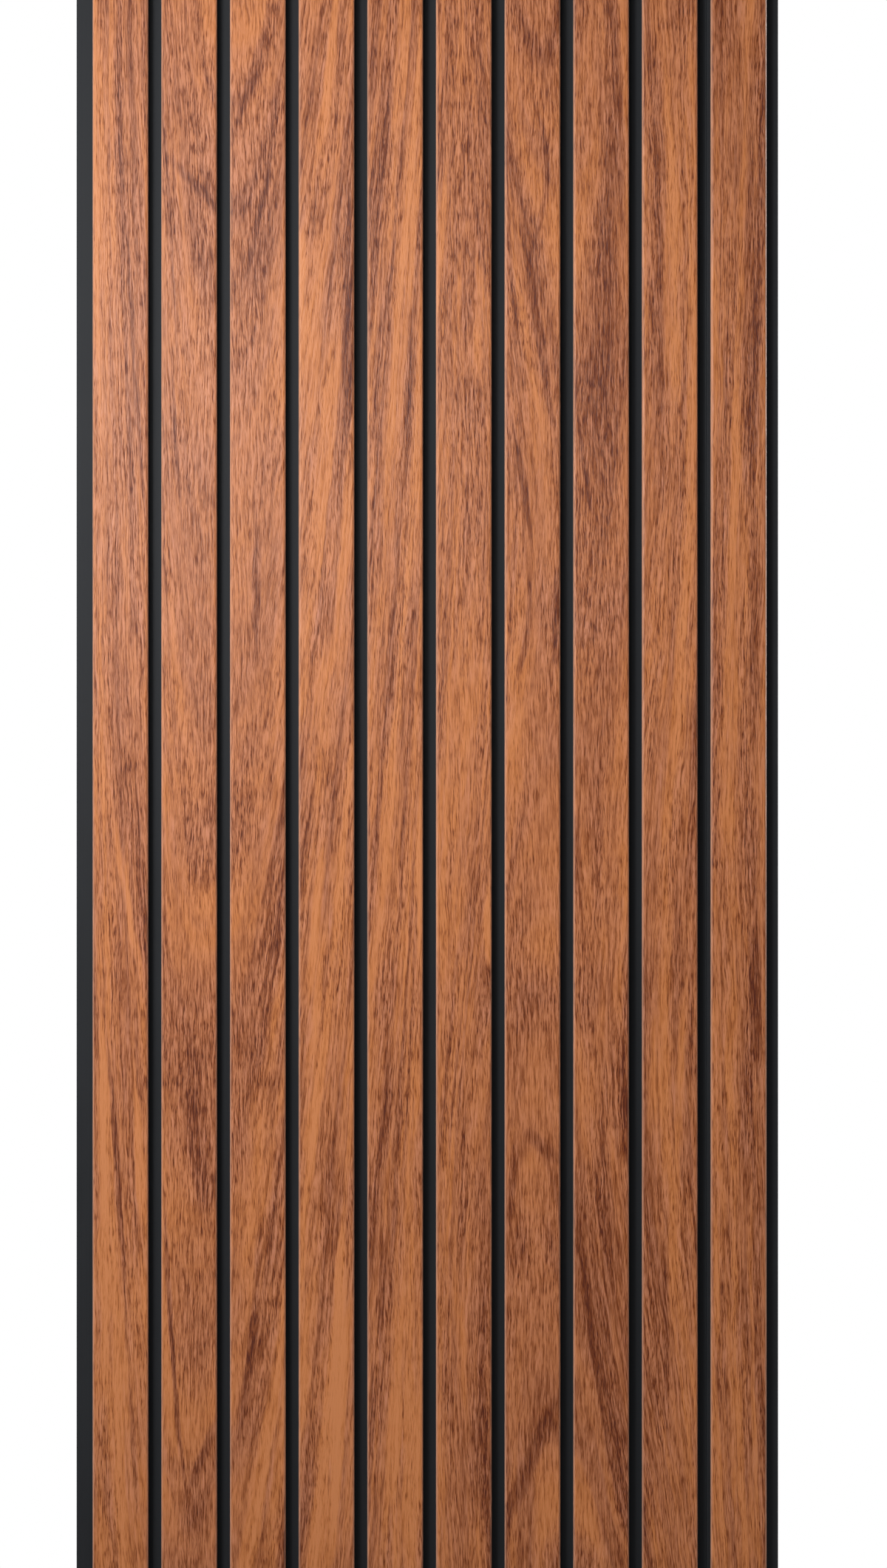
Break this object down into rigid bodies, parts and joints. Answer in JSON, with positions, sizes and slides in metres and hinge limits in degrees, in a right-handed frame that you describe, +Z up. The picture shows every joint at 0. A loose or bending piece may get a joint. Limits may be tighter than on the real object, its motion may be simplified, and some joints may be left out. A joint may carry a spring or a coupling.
{
  "type": "pvc cladding panel",
  "caption": "Long slatted wall cladding panel: a hollow black PVC extrusion with half-lap edges and wood-grain film over each raised slat.",
  "frame": {"origin": "on the flat back, at half length, in the middle of the row of slats", "axes": "+Z up along the length, -Y out of the slatted front, +Y out of the back, +X to the right seen from the front"},
  "size_m": [0.4105, 0.014, 1.2],
  "materials": {
    "black_pvc": "matt extruded",
    "wood_grain_film": "satin, embossed wood grain"
  },
  "bodies": {
    "root": {"panel_profile": "black_pvc", "wood_film_01": "wood_grain_film", "wood_film_02": "wood_grain_film", "wood_film_03": "wood_grain_film", "wood_film_04": "wood_grain_film", "wood_film_05": "wood_grain_film", "wood_film_06": "wood_grain_film", "wood_film_07": "wood_grain_film", "wood_film_08": "wood_grain_film", "wood_film_09": "wood_grain_film", "wood_film_10": "wood_grain_film"}
  },
  "joints": []
}
